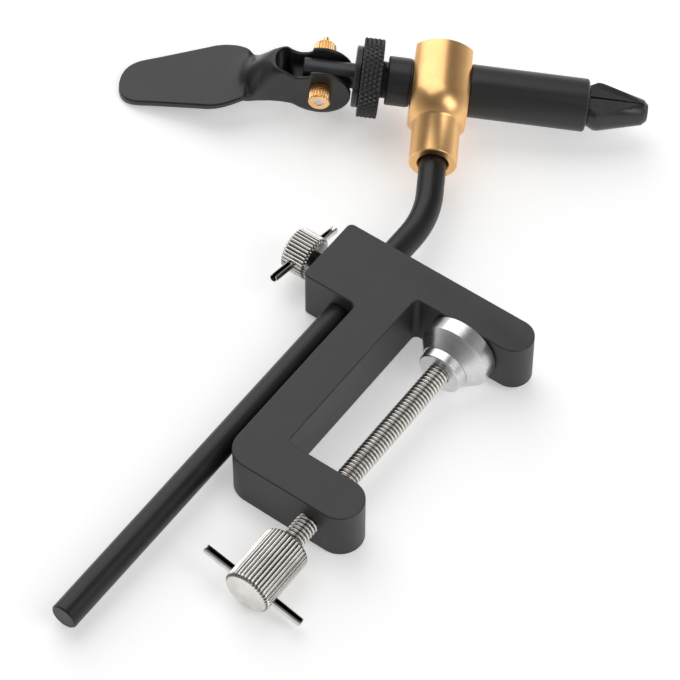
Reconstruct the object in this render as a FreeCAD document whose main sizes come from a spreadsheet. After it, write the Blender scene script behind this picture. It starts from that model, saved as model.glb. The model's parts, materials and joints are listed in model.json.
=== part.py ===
import FreeCAD, Part
import math
import os
import re
import Sketcher
from FreeCAD import Placement, Rotation, Vector

# A fly tying vise on a C-clamp. It lies on its side: +X runs along the clamp arms to their open
# side, +Y along the stem to the head, +Z up. The origin is under the stem axis, at the middle of
# the clamp's block, on the lower side face. All sizes are in millimetres and degrees.

os.makedirs("parts", exist_ok=True)
doc = FreeCAD.newDocument("fly_tying_vise")

# ---------------------------------------------------------------- driving sizes
SIZES = {
    # clamp frame, seen along Z
    "frame_thickness": 20.3,
    "block_reach": 15.3,
    "block_half_height": 13.55,
    "spine_near": 6.5,
    "spine_far": 21.1,
    "upper_arm_reach": 62.5,
    "lower_arm_reach": 55.65,
    "lower_arm_height": 16.1,
    "throat": 70.9,
    "frame_corner": 2.0,
    "heel_corner": 8.5,
    "edge_break": 0.35,
    # clearances: of a turning or sliding fit, across a face, and between separate bodies
    "fit_gap": 0.05,
    "face_gap": 0.1,
    "body_gap": 0.3,
    # stem, and the line from its bend to the head
    "stem_radius": 4.75,
    "stem_low_end": 160.6,
    "bend_start": 26.9,
    "bend_radius": 36.9,
    "bend_angle": 30.8,
    "head_roll": 6.0,
    "bend_to_head": 46.0,
    "stem_top_drop": 9.5,
    "stem_chamfer": 0.5,
    "plug_radius": 3.3,
    "plug_length": 4.0,
    # tee collar, along the stem's upper run
    "collar_radius": 13.0,
    "collar_top": 11.4,
    "collar_half_width": 9.9,
    "ball_drop": 7.8,
    "neck_radius": 8.35,
    "neck_end": 33.4,
    "collar_chamfer": 0.4,
    "neck_mouth_radius": 5.6,
    "set_screw_radius": 2.0,
    "set_screw_drop": 26.0,
    "set_screw_length": 3.2,
    "hex_socket_radius": 1.0,
    "hex_socket_depth": 1.8,
    # barrel, along the head axis
    "journal_radius": 7.5,
    "barrel_radius": 9.3,
    "barrel_mouth": 51.4,
    "barrel_shoulder": 10.2,
    "barrel_tail": 24.0,
    "tail_radius": 6.4,
    "spring_step": 12.0,
    "chamber_radius": 7.45,
    "barrel_chamfer": 0.6,
    "ring_radius": 8.3,
    "ring_thickness": 0.55,
    "sleeve_radius": 8.57,
    "sleeve_end": 18.7,
    # knurled nut and the washer that the cam pushes on
    "nut_radius": 13.9,
    "nut_front": 20.8,
    "nut_back": 27.9,
    "nut_chamfer": 0.7,
    "washer_radius": 10.75,
    "washer_back": 30.15,
    "washer_hub_front": 25.8,
    # drawbar
    "drawbar_radius": 4.5,
    "drawbar_end": 48.0,
    "drawbar_front": 30.0,
    "drawbar_half_flat": 3.1,
    "drawbar_flat_start": 29.5,
    "hook_neck_radius": 2.6,
    "hook_neck_end": 33.0,
    "hook_radius": 4.4,
    "hook_end": 36.2,
    "jaw_spring_place": 42.0,
    "jaw_spring_radius": 1.3,
    "jaw_spring_bore": 0.8,
    "jaw_spring_reach": 2.9,
    "return_spring_radius": 6.9,
    "return_spring_bore": 5.1,
    # jaws
    "jaw_rear": 30.3,
    "jaw_shank_radius": 6.6,
    "jaw_shank_end": 50.6,
    "jaw_groove_radius": 7.1,
    "jaw_groove_end": 51.9,
    "jaw_shoulder_radius": 8.35,
    "jaw_shoulder_start": 54.5,
    "jaw_shoulder_end": 56.0,
    "jaw_cone_radius": 4.5,
    "jaw_cone_end": 71.0,
    "jaw_nose_radius": 3.0,
    "jaw_nose_end": 72.6,
    "jaw_half_flat": 5.0,
    "jaw_slit": 0.3,
    "jaw_slit_angle": 0.8,
    # cam lever: its pin, lobe, fork, trough and paddle
    "pin_back": 41.2,
    "pin_drop": 1.8,
    "lever_pin_radius": 1.5,
    "lobe_back": 41.45,
    "lobe_drop": 4.65,
    "lobe_radius": 10.9,
    "lobe_angle": 20.0,
    "fork_half_width": 6.1,
    "slot_half_width": 3.7,
    "slot_end": 51.0,
    "trough_end": 57.0,
    "trough_floor": 9.6,
    "saddle_front_back": 47.2,
    "saddle_front_rise": 2.9,
    "saddle_back": 49.75,
    "saddle_rise": 2.4,
    "saddle_rear_back": 52.25,
    "saddle_rear_rise": 3.3,
    "lip_back": 54.5,
    "lip_rise": 5.7,
    "lip_end_back": 58.0,
    "lip_end_rise": 4.9,
    "wall_back": 59.3,
    "wall_rise": 1.0,
    "neck_back": 66.0,
    "neck_drop": 5.3,
    "paddle_back": 78.0,
    "paddle_drop": 9.08,
    "paddle_tip_back": 112.0,
    "paddle_slope": 18.5,
    "paddle_thickness": 2.4,
    "keel_back": 58.2,
    "keel_drop": 12.0,
    "keel_front_back": 51.15,
    "keel_front_drop": 11.9,
    "keel_lobe_back": 47.5,
    "keel_lobe_drop": 14.1,
    "neck_half_width": 9.5,
    "neck_middle_back": 65.0,
    "paddle_rise_back": 72.0,
    "paddle_rise_half_width": 12.6,
    "paddle_widest_back": 79.0,
    "paddle_half_width": 13.8,
    "paddle_narrow_back": 104.0,
    "paddle_narrow_half_width": 9.2,
    "lever_nut_radius": 3.9,
    "lever_nut_chamfer": 0.6,
    "front_nut_end": 12.2,
    "back_nut_end": 12.9,
    "nut_tip_radius": 1.05,
    "nut_tip_end": 16.5,
    "lever_pin_front": 12.0,
    "lever_pin_back": 11.5,
    # clamp screw, its knob and its pad
    "screw_reach": 40.8,
    "screw_radius": 3.9,
    "screw_top": 2.7,
    "screw_low_end": 118.6,
    "knob_top": 97.8,
    "knob_low_end": 120.25,
    "knob_radius": 8.45,
    "knob_chamfer": 0.6,
    "tommy_drop": 116.1,
    "tommy_length": 38.4,
    "tommy_roll": 14.0,
    "tommy_radius": 1.5,
    "tommy_bore": 0.95,
    "tommy_slot": 1.1,
    "pad_radius": 12.8,
    "pad_rim": 6.25,
    "pad_cone_end": 11.0,
    "pad_cone_radius": 8.8,
    "pad_collar_radius": 8.1,
    "pad_collar_end": 14.6,
    "pad_recess_radius": 5.0,
    "pad_recess_depth": 2.5,
    "pad_screw_head": 4.6,
    "pad_screw_face": 1.1,
    "pad_screw_radius": 1.5,
    "pad_screw_end": 10.4,
    # thumbscrew that locks the stem
    "thumb_radius": 3.0,
    "thumb_tip": 8.0,
    "thumb_end": 27.5,
    "thumb_knob_radius": 7.85,
    "thumb_knob_near": 19.8,
    "thumb_knob_far": 29.1,
    "thumb_pin_place": 24.6,
    "thumb_pin_length": 36.0,
    "thumb_pin_roll": 15.0,
    "thumb_washer_radius": 5.2,
    "thumb_washer_thickness": 1.1,
    "lock_pad_back": 7.7,
}

sheet = doc.addObject("Spreadsheet::Sheet", "Sizes")
for row, (alias, value) in enumerate(SIZES.items(), start=1):
    sheet.set(f"A{row}", alias)
    sheet.set(f"B{row}", str(value))
    sheet.setAlias(f"B{row}", alias)
doc.recompute()


def sized(text):
    """The same formula with every size's name pointing at the sheet."""
    return re.sub(r"[a-z_]{3,}", lambda m: "Sizes." + m.group() if m.group() in SIZES else m.group(), text)


def number(text):
    """The value of a formula of sizes."""
    return float(sheet.evalExpression(sized(text)))


# ---------------------------------------------------------------- places
ROUND_X = Vector(1, 0, 0)
ROUND_Y = Vector(0, 1, 0)
ROUND_Z = Vector(0, 0, 1)
HERE = Placement()


def shift(x="0", y="0", z="0"):
    return Placement(Vector(number(x), number(y), number(z)), Rotation())


def turn(axis, degrees):
    return Placement(Vector(), Rotation(axis, degrees))


# A turned piece lies along its own X, and a cylinder along its own Z
X_TO_Y = turn(ROUND_Z, 90)
Z_TO_X = turn(ROUND_Y, 90)
Z_TO_Y = turn(ROUND_X, -90)

# The stem's frame has its axis along Y and bends in its own XY plane, to -X
STEM = shift(z="frame_thickness / 2") * turn(ROUND_Y, number("head_roll"))
BEND_TURN = turn(ROUND_Z, number("bend_angle"))
BEND_CENTRE = shift(x="-bend_radius", y="bend_start")
BEND_END = BEND_CENTRE * BEND_TURN * shift(x="bend_radius")
# The head's frame has X along the head axis to the jaws and Y along the stem's upper run
HEAD = STEM * BEND_END * shift(y="bend_to_head")
SCREW = shift(x="screw_reach", z="frame_thickness / 2") * X_TO_Y
THUMB = shift(z="frame_thickness / 2")
LEVER_PIN = HEAD * shift(x="-pin_back", z="-pin_drop")


# ---------------------------------------------------------------- ways to make a solid
def hold(sketch, side, end, x, y):
    """Ties one corner of a sketch to its two formulas."""
    for direction, text in (("X", x), ("Y", y)):
        if text == "0":
            axis = -2 if direction == "X" else -1
            sketch.addConstraint(Sketcher.Constraint("PointOnObject", side, end, axis))
            continue
        rule = Sketcher.Constraint("Distance" + direction, -1, 1, side, end, number(text))
        index = sketch.addConstraint(rule)
        sketch.setExpression(f"Constraints[{index}]", sized(text))


def outline(body, role, corners):
    """A closed sketch. A corner is (x, y), or (x, y, centre x, centre y, turn) before an arc."""
    sketch = body.newObject("Sketcher::SketchObject", body.Name + "_outline")
    plane = [feature for feature in body.Origin.OriginFeatures if feature.Role == role][0]
    sketch.AttachmentSupport = [(plane, "")]
    sketch.MapMode = "FlatFace"
    spots = [Vector(number(corner[0]), number(corner[1]), 0) for corner in corners]
    ends = []
    for side, corner in enumerate(corners):
        here = spots[side]
        there = spots[(side + 1) % len(spots)]
        if len(corner) == 2:
            sketch.addGeometry(Part.LineSegment(here, there), False)
            ends.append((1, 2))
            continue
        centre = Vector(number(corner[2]), number(corner[3]), 0)
        first, last = (here, there) if corner[4] > 0 else (there, here)
        start = math.atan2(first.y - centre.y, first.x - centre.x)
        finish = math.atan2(last.y - centre.y, last.x - centre.x)
        if finish < start:
            finish += 2 * math.pi
        circle = Part.Circle(centre, ROUND_Z, (here - centre).Length)
        sketch.addGeometry(Part.ArcOfCircle(circle, start, finish), False)
        ends.append((1, 2) if corner[4] > 0 else (2, 1))
    for side, corner in enumerate(corners):
        following = (side + 1) % len(corners)
        joined = Sketcher.Constraint("Coincident", side, ends[side][1], following, ends[following][0])
        sketch.addConstraint(joined)
        hold(sketch, side, ends[side][0], corner[0], corner[1])
    for side, corner in enumerate(corners):
        if len(corner) == 2:
            continue
        across = spots[(side + 1) % len(spots)] - spots[side]
        if abs(across.x) > abs(across.y):
            held = ("DistanceY", corner[3], -1)
        else:
            held = ("DistanceX", corner[2], -2)
        if held[1] == "0":
            sketch.addConstraint(Sketcher.Constraint("PointOnObject", side, 3, held[2]))
        else:
            rule = Sketcher.Constraint(held[0], -1, 1, side, 3, number(held[1]))
            index = sketch.addConstraint(rule)
            sketch.setExpression(f"Constraints[{index}]", sized(held[1]))
    return sketch


def new_body(name, place):
    body = doc.addObject("PartDesign::Body", name)
    body.Placement = place
    return body


def turned(name, place, corners):
    """A piece turned about its own X. A corner is (along, radius)."""
    body = new_body(name, place)
    sketch = outline(body, "XY_Plane", corners)
    lathe = body.newObject("PartDesign::Revolution", name + "_turning")
    lathe.Profile = sketch
    lathe.ReferenceAxis = (sketch, ["H_Axis"])
    lathe.Angle = 360
    body.Tip = lathe
    return body


def extruded(name, place, role, length, corners, symmetric=True):
    """A flat outline made thick."""
    body = new_body(name, place)
    sketch = outline(body, role, corners)
    pad = body.newObject("PartDesign::Pad", name + "_pad")
    pad.Profile = sketch
    pad.SideType = "Symmetric" if symmetric else "One side"
    pad.setExpression("Length", sized(length))
    body.Tip = pad
    return body


def cylinder(name, place, radius, height):
    rod = doc.addObject("Part::Cylinder", name)
    rod.setExpression("Radius", sized(radius))
    rod.setExpression("Height", sized(height))
    rod.Placement = place
    return rod


def cone(name, place, radius_low, radius_high, height):
    taper = doc.addObject("Part::Cone", name)
    taper.setExpression("Radius1", sized(radius_low))
    taper.setExpression("Radius2", sized(radius_high))
    taper.setExpression("Height", sized(height))
    taper.Placement = place
    return taper


def box(name, frame, x, y, z):
    """A box in a frame, each way from its first formula to its second."""
    block = doc.addObject("Part::Box", name)
    for side, (low, high) in (("Length", x), ("Width", y), ("Height", z)):
        block.setExpression(side, sized(f"({high}) - ({low})"))
    block.Placement = frame * shift(x[0], y[0], z[0])
    return block


def cut(name, base, tools):
    """The base with every tool taken away, one after the other."""
    for step, tool in enumerate(tools, start=1):
        left = doc.addObject("Part::Cut", f"{name}_cut_{step}")
        left.Base = base
        left.Tool = tool
        base = left
    return base


def common(name, base, tool):
    shared = doc.addObject("Part::Common", name + "_common")
    shared.Base = base
    shared.Tool = tool
    return shared


def edges_where(thing, test):
    """Names of the edges whose middle point and curve pass the test."""
    doc.recompute()
    found = []
    for index, edge in enumerate(thing.Shape.Edges, start=1):
        middle = edge.valueAt((edge.FirstParameter + edge.LastParameter) / 2)
        if test(edge, middle):
            found.append(f"Edge{index}")
    return found


def near(value, text):
    return abs(value - number(text)) < 0.01


PARTS = []


def keep(node, thing):
    """Names a finished sub-part."""
    thing.Label = node
    PARTS.append((node, thing))
    return thing


# ---------------------------------------------------------------- clamp frame
def make_c_frame():
    low_arm_bottom = "-(throat + lower_arm_height)"
    low_tip = "lower_arm_reach - lower_arm_height / 2"
    low_middle = "-(throat + lower_arm_height / 2)"
    high_tip = "upper_arm_reach - block_half_height / 2"
    body = extruded("frame_blank", HERE, "XY_Plane", "frame_thickness", [
        ("-block_reach", "-block_half_height"),
        ("spine_near", "-block_half_height"),
        ("spine_near", low_arm_bottom),
        (low_tip, low_arm_bottom, low_tip, low_middle, 1),
        (low_tip, "-throat"),
        ("spine_far", "-throat"),
        ("spine_far", "0"),
        (high_tip, "0", high_tip, "block_half_height / 2", 1),
        (high_tip, "block_half_height"),
        ("-block_reach", "block_half_height"),
    ], symmetric=False)

    def upright_at(corners):
        def test(edge, middle):
            upright = edge.Length > 1 and near(middle.z, "frame_thickness / 2")
            return upright and any(near(middle.x, x) and near(middle.y, y) for x, y in corners)
        return test

    small = [("-block_reach", "-block_half_height"), ("-block_reach", "block_half_height"),
             ("spine_far", "-throat"), ("spine_far", "0"), ("spine_near", "-block_half_height")]
    for name, radius, corners in (("frame_corners", "frame_corner", small),
                                  ("frame_heel", "heel_corner", [("spine_near", low_arm_bottom)])):
        sharp = body.Tip
        edges = edges_where(sharp, upright_at(corners))
        fillet = body.newObject("PartDesign::Fillet", name)
        fillet.Base = (sharp, edges)
        fillet.setExpression("Radius", sized(radius))
        body.Tip = fillet
    rounded = body.Tip
    rims = edges_where(rounded, lambda edge, at: near(at.z, "0") or near(at.z, "frame_thickness"))
    chamfer = body.newObject("PartDesign::Chamfer", "frame_edge_break")
    chamfer.Base = (rounded, rims)
    chamfer.setExpression("Size", sized("edge_break"))
    body.Tip = chamfer

    middle = "frame_thickness / 2"
    stem_bore = cylinder("stem_bore", shift(y="-block_half_height - 1", z=middle) * Z_TO_Y,
                         "stem_radius + fit_gap", "2 * block_half_height + 2")
    screw_bore = cylinder("screw_bore", shift("screw_reach", low_arm_bottom + " - 1", middle) * Z_TO_Y,
                          "screw_radius + fit_gap", "lower_arm_height + 2")
    thumb_bore = cylinder("thumb_bore", shift(x="-block_reach - 1", z=middle) * Z_TO_X,
                          "thumb_radius + fit_gap", "block_reach + 1")
    keep("c_frame", cut("c_frame", body, [stem_bore, screw_bore, thumb_bore]))


# ---------------------------------------------------------------- stem
def make_stem():
    low_end = STEM * shift(y="-stem_low_end")
    straight = cylinder("stem_straight", low_end * Z_TO_Y, "stem_radius", "stem_low_end + bend_start")
    bend = doc.addObject("Part::Torus", "stem_bend")
    bend.setExpression("Radius1", sized("bend_radius"))
    bend.setExpression("Radius2", sized("stem_radius"))
    bend.setExpression("Angle3", sized("bend_angle"))
    bend.Placement = STEM * BEND_CENTRE
    upper = cylinder("stem_upper", STEM * BEND_END * Z_TO_Y, "stem_radius", "bend_to_head - stem_top_drop")
    whole = doc.addObject("Part::MultiFuse", "stem_whole")
    whole.Shapes = [straight, bend, upper]
    whole.Refine = True

    def at_low_end(edge, middle):
        return near(middle.y, "-stem_low_end") and edge.Length > 1

    rim = edges_where(whole, at_low_end)
    width = number("stem_chamfer")
    broken = doc.addObject("Part::Chamfer", "stem_edge_break")
    broken.Base = whole
    broken.Edges = [(int(edge[len("Edge"):]), width, width) for edge in rim]
    plug_bore = cylinder("plug_bore", low_end * shift(y="-1") * Z_TO_Y,
                         "plug_radius + fit_gap", "plug_length + body_gap + 1")
    keep("stem", cut("stem", broken, [plug_bore]))

    chamfered = "plug_radius - stem_chamfer"
    inner = "plug_length"
    keep("stem_end_plug", turned("plug", low_end * X_TO_Y, [
        ("0", "0"),
        ("0", chamfered),
        ("stem_chamfer", "plug_radius"),
        (inner, "plug_radius"),
        (inner, "0"),
    ]))


# ---------------------------------------------------------------- tee collar on the stem's top
def make_tee_collar():
    ball_end = "-(ball_drop + sqrt(collar_radius ^ 2 - neck_radius ^ 2))"
    blank = turned("collar_blank", HEAD * X_TO_Y, [
        ("-neck_end", "0"),
        ("-neck_end", "neck_radius - edge_break"),
        ("-neck_end + edge_break", "neck_radius"),
        (ball_end, "neck_radius", "-ball_drop", "0", -1),
        ("-ball_drop", "collar_radius"),
        ("collar_top - collar_chamfer", "collar_radius"),
        ("collar_top", "collar_radius - collar_chamfer"),
        ("collar_top", "0"),
    ])
    half = "2 * collar_radius"
    slab = box("collar_slab", HEAD, ("-collar_half_width", "collar_half_width"),
               ("-neck_end - 1", "collar_top + 1"), ("-(" + half + ")", half))
    faced = common("collar", blank, slab)
    mouth = HEAD * shift(y="-neck_end") * Z_TO_Y
    stem_bore = cylinder("collar_stem_bore", HEAD * shift(y="-neck_end - 1") * Z_TO_Y,
                         "stem_radius", "neck_end + 1 - stem_top_drop")
    mouth_cone = cone("collar_mouth", mouth, "neck_mouth_radius", "stem_radius",
                      "neck_mouth_radius - stem_radius")
    cross_bore = cylinder("collar_cross_bore", HEAD * shift(x="-collar_radius") * Z_TO_X,
                          "journal_radius + fit_gap", "2 * collar_radius")
    down = HEAD * shift(y="-set_screw_drop") * turn(ROUND_X, 180)
    screw_bore = cylinder("set_screw_bore", down, "set_screw_radius", "collar_radius")
    keep("tee_collar", cut("tee_collar", faced, [stem_bore, mouth_cone, cross_bore, screw_bore]))

    tip = down * shift(z="stem_radius + face_gap")
    screw = cylinder("set_screw_blank", tip, "set_screw_radius", "set_screw_length")
    socket = doc.addObject("Part::Prism", "set_screw_socket")
    socket.Polygon = 6
    socket.setExpression("Circumradius", sized("hex_socket_radius"))
    socket.setExpression("Height", sized("hex_socket_depth + 1"))
    socket.Placement = tip * shift(z="set_screw_length - hex_socket_depth")
    keep("collar_set_screw", cut("collar_set_screw", screw, [socket]))


# ---------------------------------------------------------------- barrel and what is fixed on it
def make_barrel():
    guide = "drawbar_radius + 2 * fit_gap"
    journal_end = "-(barrel_shoulder + ring_thickness)"
    keep("barrel", turned("barrel_turned", HEAD, [
        ("-barrel_tail", guide),
        ("-barrel_tail", "tail_radius - edge_break"),
        ("-barrel_tail + edge_break", "tail_radius"),
        (journal_end, "tail_radius"),
        (journal_end, "journal_radius"),
        ("barrel_shoulder", "journal_radius"),
        ("barrel_shoulder", "barrel_radius - edge_break"),
        ("barrel_shoulder + edge_break", "barrel_radius"),
        ("barrel_mouth - barrel_chamfer", "barrel_radius"),
        ("barrel_mouth", "barrel_radius - barrel_chamfer"),
        ("barrel_mouth", "chamber_radius + edge_break"),
        ("barrel_mouth - edge_break", "chamber_radius"),
        ("spring_step", "chamber_radius"),
        ("spring_step", guide),
    ]))
    keep("spacer_ring", turned("ring_turned", HEAD, [
        (journal_end, "journal_radius"),
        (journal_end, "ring_radius"),
        ("-barrel_shoulder", "ring_radius"),
        ("-barrel_shoulder", "journal_radius"),
    ]))
    keep("rear_sleeve", turned("sleeve_turned", HEAD, [
        ("-sleeve_end", "tail_radius"),
        ("-sleeve_end", "sleeve_radius - edge_break"),
        ("-sleeve_end + edge_break", "sleeve_radius"),
        (journal_end + " - edge_break", "sleeve_radius"),
        (journal_end, "sleeve_radius - edge_break"),
        (journal_end, "tail_radius"),
    ]))
    keep("return_spring", turned("return_spring_turned", HEAD, [
        ("spring_step", "return_spring_bore"),
        ("spring_step", "return_spring_radius"),
        ("jaw_rear - body_gap", "return_spring_radius"),
        ("jaw_rear - body_gap", "return_spring_bore"),
    ]))


# ---------------------------------------------------------------- knurled nut and thrust washer
def make_nut_and_washer():
    nut_bore = "tail_radius + fit_gap"
    keep("knurled_nut", turned("nut_turned", HEAD, [
        ("-nut_back", nut_bore),
        ("-nut_back", "nut_radius - nut_chamfer"),
        ("-nut_back + nut_chamfer", "nut_radius"),
        ("-nut_front - nut_chamfer", "nut_radius"),
        ("-nut_front", "nut_radius - nut_chamfer"),
        ("-nut_front", nut_bore),
    ]))
    washer_front = "-(nut_back + fit_gap)"
    bore = "drawbar_radius + fit_gap"
    hub = "tail_radius"
    keep("thrust_washer", turned("washer_turned", HEAD, [
        ("-washer_back", bore),
        ("-washer_back", "washer_radius - edge_break"),
        ("-washer_back + edge_break", "washer_radius"),
        (washer_front + " - edge_break", "washer_radius"),
        (washer_front, "washer_radius - edge_break"),
        (washer_front, hub),
        ("-washer_hub_front", hub),
        ("-washer_hub_front", bore),
    ]))


# ---------------------------------------------------------------- drawbar and the jaws it pulls
def make_drawbar():
    blank = turned("drawbar_blank", HEAD, [
        ("-drawbar_end", "0"),
        ("-drawbar_end", "drawbar_radius - edge_break"),
        ("-drawbar_end + edge_break", "drawbar_radius"),
        ("drawbar_front", "drawbar_radius"),
        ("drawbar_front", "hook_neck_radius"),
        ("hook_neck_end", "hook_neck_radius"),
        ("hook_neck_end", "hook_radius"),
        ("hook_end", "hook_radius"),
        ("hook_end", "0"),
    ])
    along = ("-drawbar_end - 1", "-drawbar_flat_start")
    tall = ("-drawbar_radius - 1", "drawbar_radius + 1")
    near_flat = box("drawbar_near_flat", HEAD, along, ("-drawbar_radius - 1", "-drawbar_half_flat"), tall)
    far_flat = box("drawbar_far_flat", HEAD, along, ("drawbar_half_flat", "drawbar_radius + 1"), tall)
    pin_bore = cylinder("drawbar_pin_bore", LEVER_PIN * shift(y="-drawbar_radius") * Z_TO_Y,
                        "lever_pin_radius + fit_gap", "2 * drawbar_radius")
    keep("drawbar", cut("drawbar", blank, [near_flat, far_flat, pin_bore]))


def make_jaws():
    wall = "drawbar_front + hook_neck_end - jaw_rear"
    hook_clear = "2 * jaw_slit"
    far = "2 * barrel_radius"
    # Each half's inner face leans away from the slit's middle, so that the slit widens to the rear
    lean = number("jaw_slit_angle")
    halves = (("front", "-(" + far + ")", "-jaw_slit / 2", lean), ("back", "jaw_slit / 2", far, -lean))
    for side, low, high, tilt in halves:
        blank = turned(f"jaw_{side}_blank", HEAD, [
            ("jaw_rear", "hook_neck_radius + " + hook_clear),
            ("jaw_rear", "jaw_shank_radius"),
            ("jaw_shank_end", "jaw_shank_radius"),
            ("jaw_shank_end", "jaw_groove_radius"),
            ("jaw_groove_end", "jaw_groove_radius"),
            ("jaw_shoulder_start", "jaw_shoulder_radius"),
            ("jaw_shoulder_end", "jaw_shoulder_radius"),
            ("jaw_cone_end", "jaw_cone_radius"),
            ("jaw_nose_end", "jaw_nose_radius"),
            ("jaw_nose_end", "0"),
            ("hook_end + body_gap", "0"),
            ("hook_end + body_gap", "hook_radius + " + hook_clear),
            (wall, "hook_radius + " + hook_clear),
            (wall, "hook_neck_radius + " + hook_clear),
        ])
        along = ("jaw_groove_end", "jaw_nose_end + 1")
        over = box(f"jaw_{side}_top_flat", HEAD, along, ("-(" + far + ")", far), ("jaw_half_flat", far))
        under = box(f"jaw_{side}_low_flat", HEAD, along, ("-(" + far + ")", far),
                    ("-(" + far + ")", "-jaw_half_flat"))
        pocket = cylinder(f"jaw_{side}_spring_pocket",
                          HEAD * shift("jaw_spring_place", "-jaw_spring_reach - body_gap") * Z_TO_Y,
                          "jaw_spring_radius + body_gap", "2 * (jaw_spring_reach + body_gap)")
        flatted = cut(f"jaw_{side}_work", blank, [over, under, pocket])
        nose = HEAD * shift(x="jaw_nose_end") * turn(ROUND_Z, tilt)
        half = box(f"jaw_{side}_side", nose, ("jaw_rear - jaw_nose_end - 1", "1"), (low, high),
                   ("-(" + far + ")", far))
        keep(f"jaw_{side}", common(f"jaw_{side}", flatted, half))
    keep("jaw_spring", turned("jaw_spring_turned", HEAD * shift(x="jaw_spring_place") * X_TO_Y, [
        ("-jaw_spring_reach", "jaw_spring_bore"),
        ("-jaw_spring_reach", "jaw_spring_radius"),
        ("jaw_spring_reach", "jaw_spring_radius"),
        ("jaw_spring_reach", "jaw_spring_bore"),
    ]))


# ---------------------------------------------------------------- cam lever
def make_cam_lever():
    run = "(paddle_tip_back - paddle_back)"
    fall = run + " * tan(paddle_slope * 1deg)"
    plate_x = "paddle_thickness * sin(paddle_slope * 1deg)"
    plate_z = "paddle_thickness * cos(paddle_slope * 1deg)"
    lobe_x = "-(lobe_back + lobe_radius * sin(lobe_angle * 1deg))"
    lobe_high = "lobe_radius * cos(lobe_angle * 1deg) - lobe_drop"
    lobe_low = "-(lobe_radius * cos(lobe_angle * 1deg) + lobe_drop)"
    side = extruded("lever_side", HEAD, "XZ_Plane", "2 * fork_half_width + 4 * paddle_half_width", [
        (lobe_x, lobe_high),
        ("-saddle_front_back", "saddle_front_rise"),
        ("-saddle_back", "saddle_rise"),
        ("-saddle_rear_back", "saddle_rear_rise"),
        ("-lip_back", "lip_rise"),
        ("-lip_end_back", "lip_end_rise"),
        ("-wall_back", "wall_rise"),
        ("-neck_back", "-neck_drop"),
        ("-paddle_back", "-paddle_drop"),
        ("-paddle_tip_back", "-(paddle_drop + " + fall + ")"),
        ("-(paddle_tip_back + " + plate_x + ")", "-(paddle_drop + " + fall + " + " + plate_z + ")"),
        ("-(paddle_back + " + plate_x + ")", "-(paddle_drop + " + plate_z + ")"),
        ("-keel_back", "-keel_drop"),
        ("-keel_front_back", "-keel_front_drop"),
        ("-keel_lobe_back", "-keel_lobe_drop"),
        (lobe_x, lobe_low, "-lobe_back", "-lobe_drop", 1),
    ])
    # The tip's arc passes through both narrow corners and the tip
    reach = "(paddle_tip_back - paddle_narrow_back)"
    tip_radius = "(" + reach + " ^ 2 + paddle_narrow_half_width ^ 2) / (2 * " + reach + ")"
    tip_centre = tip_radius + " - paddle_tip_back"
    right = "lobe_radius - lobe_back + 1"
    widths = [("-trough_end", "fork_half_width"), ("-neck_middle_back", "neck_half_width"),
              ("-paddle_rise_back", "paddle_rise_half_width"), ("-paddle_widest_back", "paddle_half_width")]
    corners = [(right, "-fork_half_width"), (right, "fork_half_width")] + widths
    corners.append(("-paddle_narrow_back", "paddle_narrow_half_width", tip_centre, "0", 1))
    corners.append(("-paddle_narrow_back", "-paddle_narrow_half_width"))
    corners += [(along, "-" + width) for along, width in reversed(widths)]
    plan = extruded("lever_plan", HEAD, "XY_Plane", "8 * lobe_radius", corners)
    blank = common("lever", side, plan)
    across = ("-slot_half_width", "slot_half_width")
    high = "2 * lobe_radius"
    slot = box("lever_slot", HEAD, ("-slot_end", right), across, ("-(" + high + ")", high))
    trough = box("lever_trough", HEAD, ("-trough_end", "-slot_end + 1"), across, ("-trough_floor", high))
    pin_bore = cylinder("lever_pin_bore", LEVER_PIN * shift(y="-paddle_half_width") * Z_TO_Y,
                        "lever_pin_radius", "2 * paddle_half_width")
    keep("cam_lever", cut("cam_lever", blank, [slot, trough, pin_bore]))


def make_lever_pin():
    place = LEVER_PIN * X_TO_Y
    keep("lever_pin", turned("lever_pin_turned", place, [
        ("-lever_pin_front", "0"),
        ("-lever_pin_front", "lever_pin_radius"),
        ("lever_pin_back", "lever_pin_radius"),
        ("lever_pin_back", "0"),
    ]))
    keep("lever_nut_front", turned("lever_nut_front_turned", place, [
        ("-front_nut_end", "lever_pin_radius"),
        ("-front_nut_end", "lever_nut_radius - lever_nut_chamfer"),
        ("-front_nut_end + lever_nut_chamfer", "lever_nut_radius"),
        ("-fork_half_width", "lever_nut_radius"),
        ("-fork_half_width", "lever_pin_radius"),
    ]))
    keep("lever_nut_back", turned("lever_nut_back_turned", place, [
        ("fork_half_width", "lever_pin_radius"),
        ("fork_half_width", "lever_nut_radius"),
        ("back_nut_end - lever_nut_chamfer", "lever_nut_radius"),
        ("back_nut_end", "lever_nut_radius - lever_nut_chamfer"),
        ("back_nut_end", "nut_tip_radius"),
        ("nut_tip_end", "nut_tip_radius"),
        ("nut_tip_end", "0"),
        ("lever_pin_back + face_gap", "0"),
        ("lever_pin_back + face_gap", "lever_pin_radius"),
    ]))


# ---------------------------------------------------------------- cross pins of the two screws
def spring_pin(node, place, length):
    """A slotted spring pin along the frame's X, its slot up."""
    start = place * shift(x="-" + length + " / 2")
    rod = cylinder(node + "_rod", start * Z_TO_X, "tommy_radius", length)
    bore = cylinder(node + "_bore", start * shift(x="-1") * Z_TO_X, "tommy_bore", length + " + 2")
    slot = box(node + "_slot", place, ("-" + length + " / 2 - 1", length + " / 2 + 1"),
               ("-tommy_slot / 2", "tommy_slot / 2"), ("0", "tommy_radius + 1"))
    keep(node, cut(node, rod, [bore, slot]))


def cross_bore(name, place, length):
    return cylinder(name, place * shift(x="-" + length + " / 2") * Z_TO_X, "tommy_radius", length)


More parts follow.
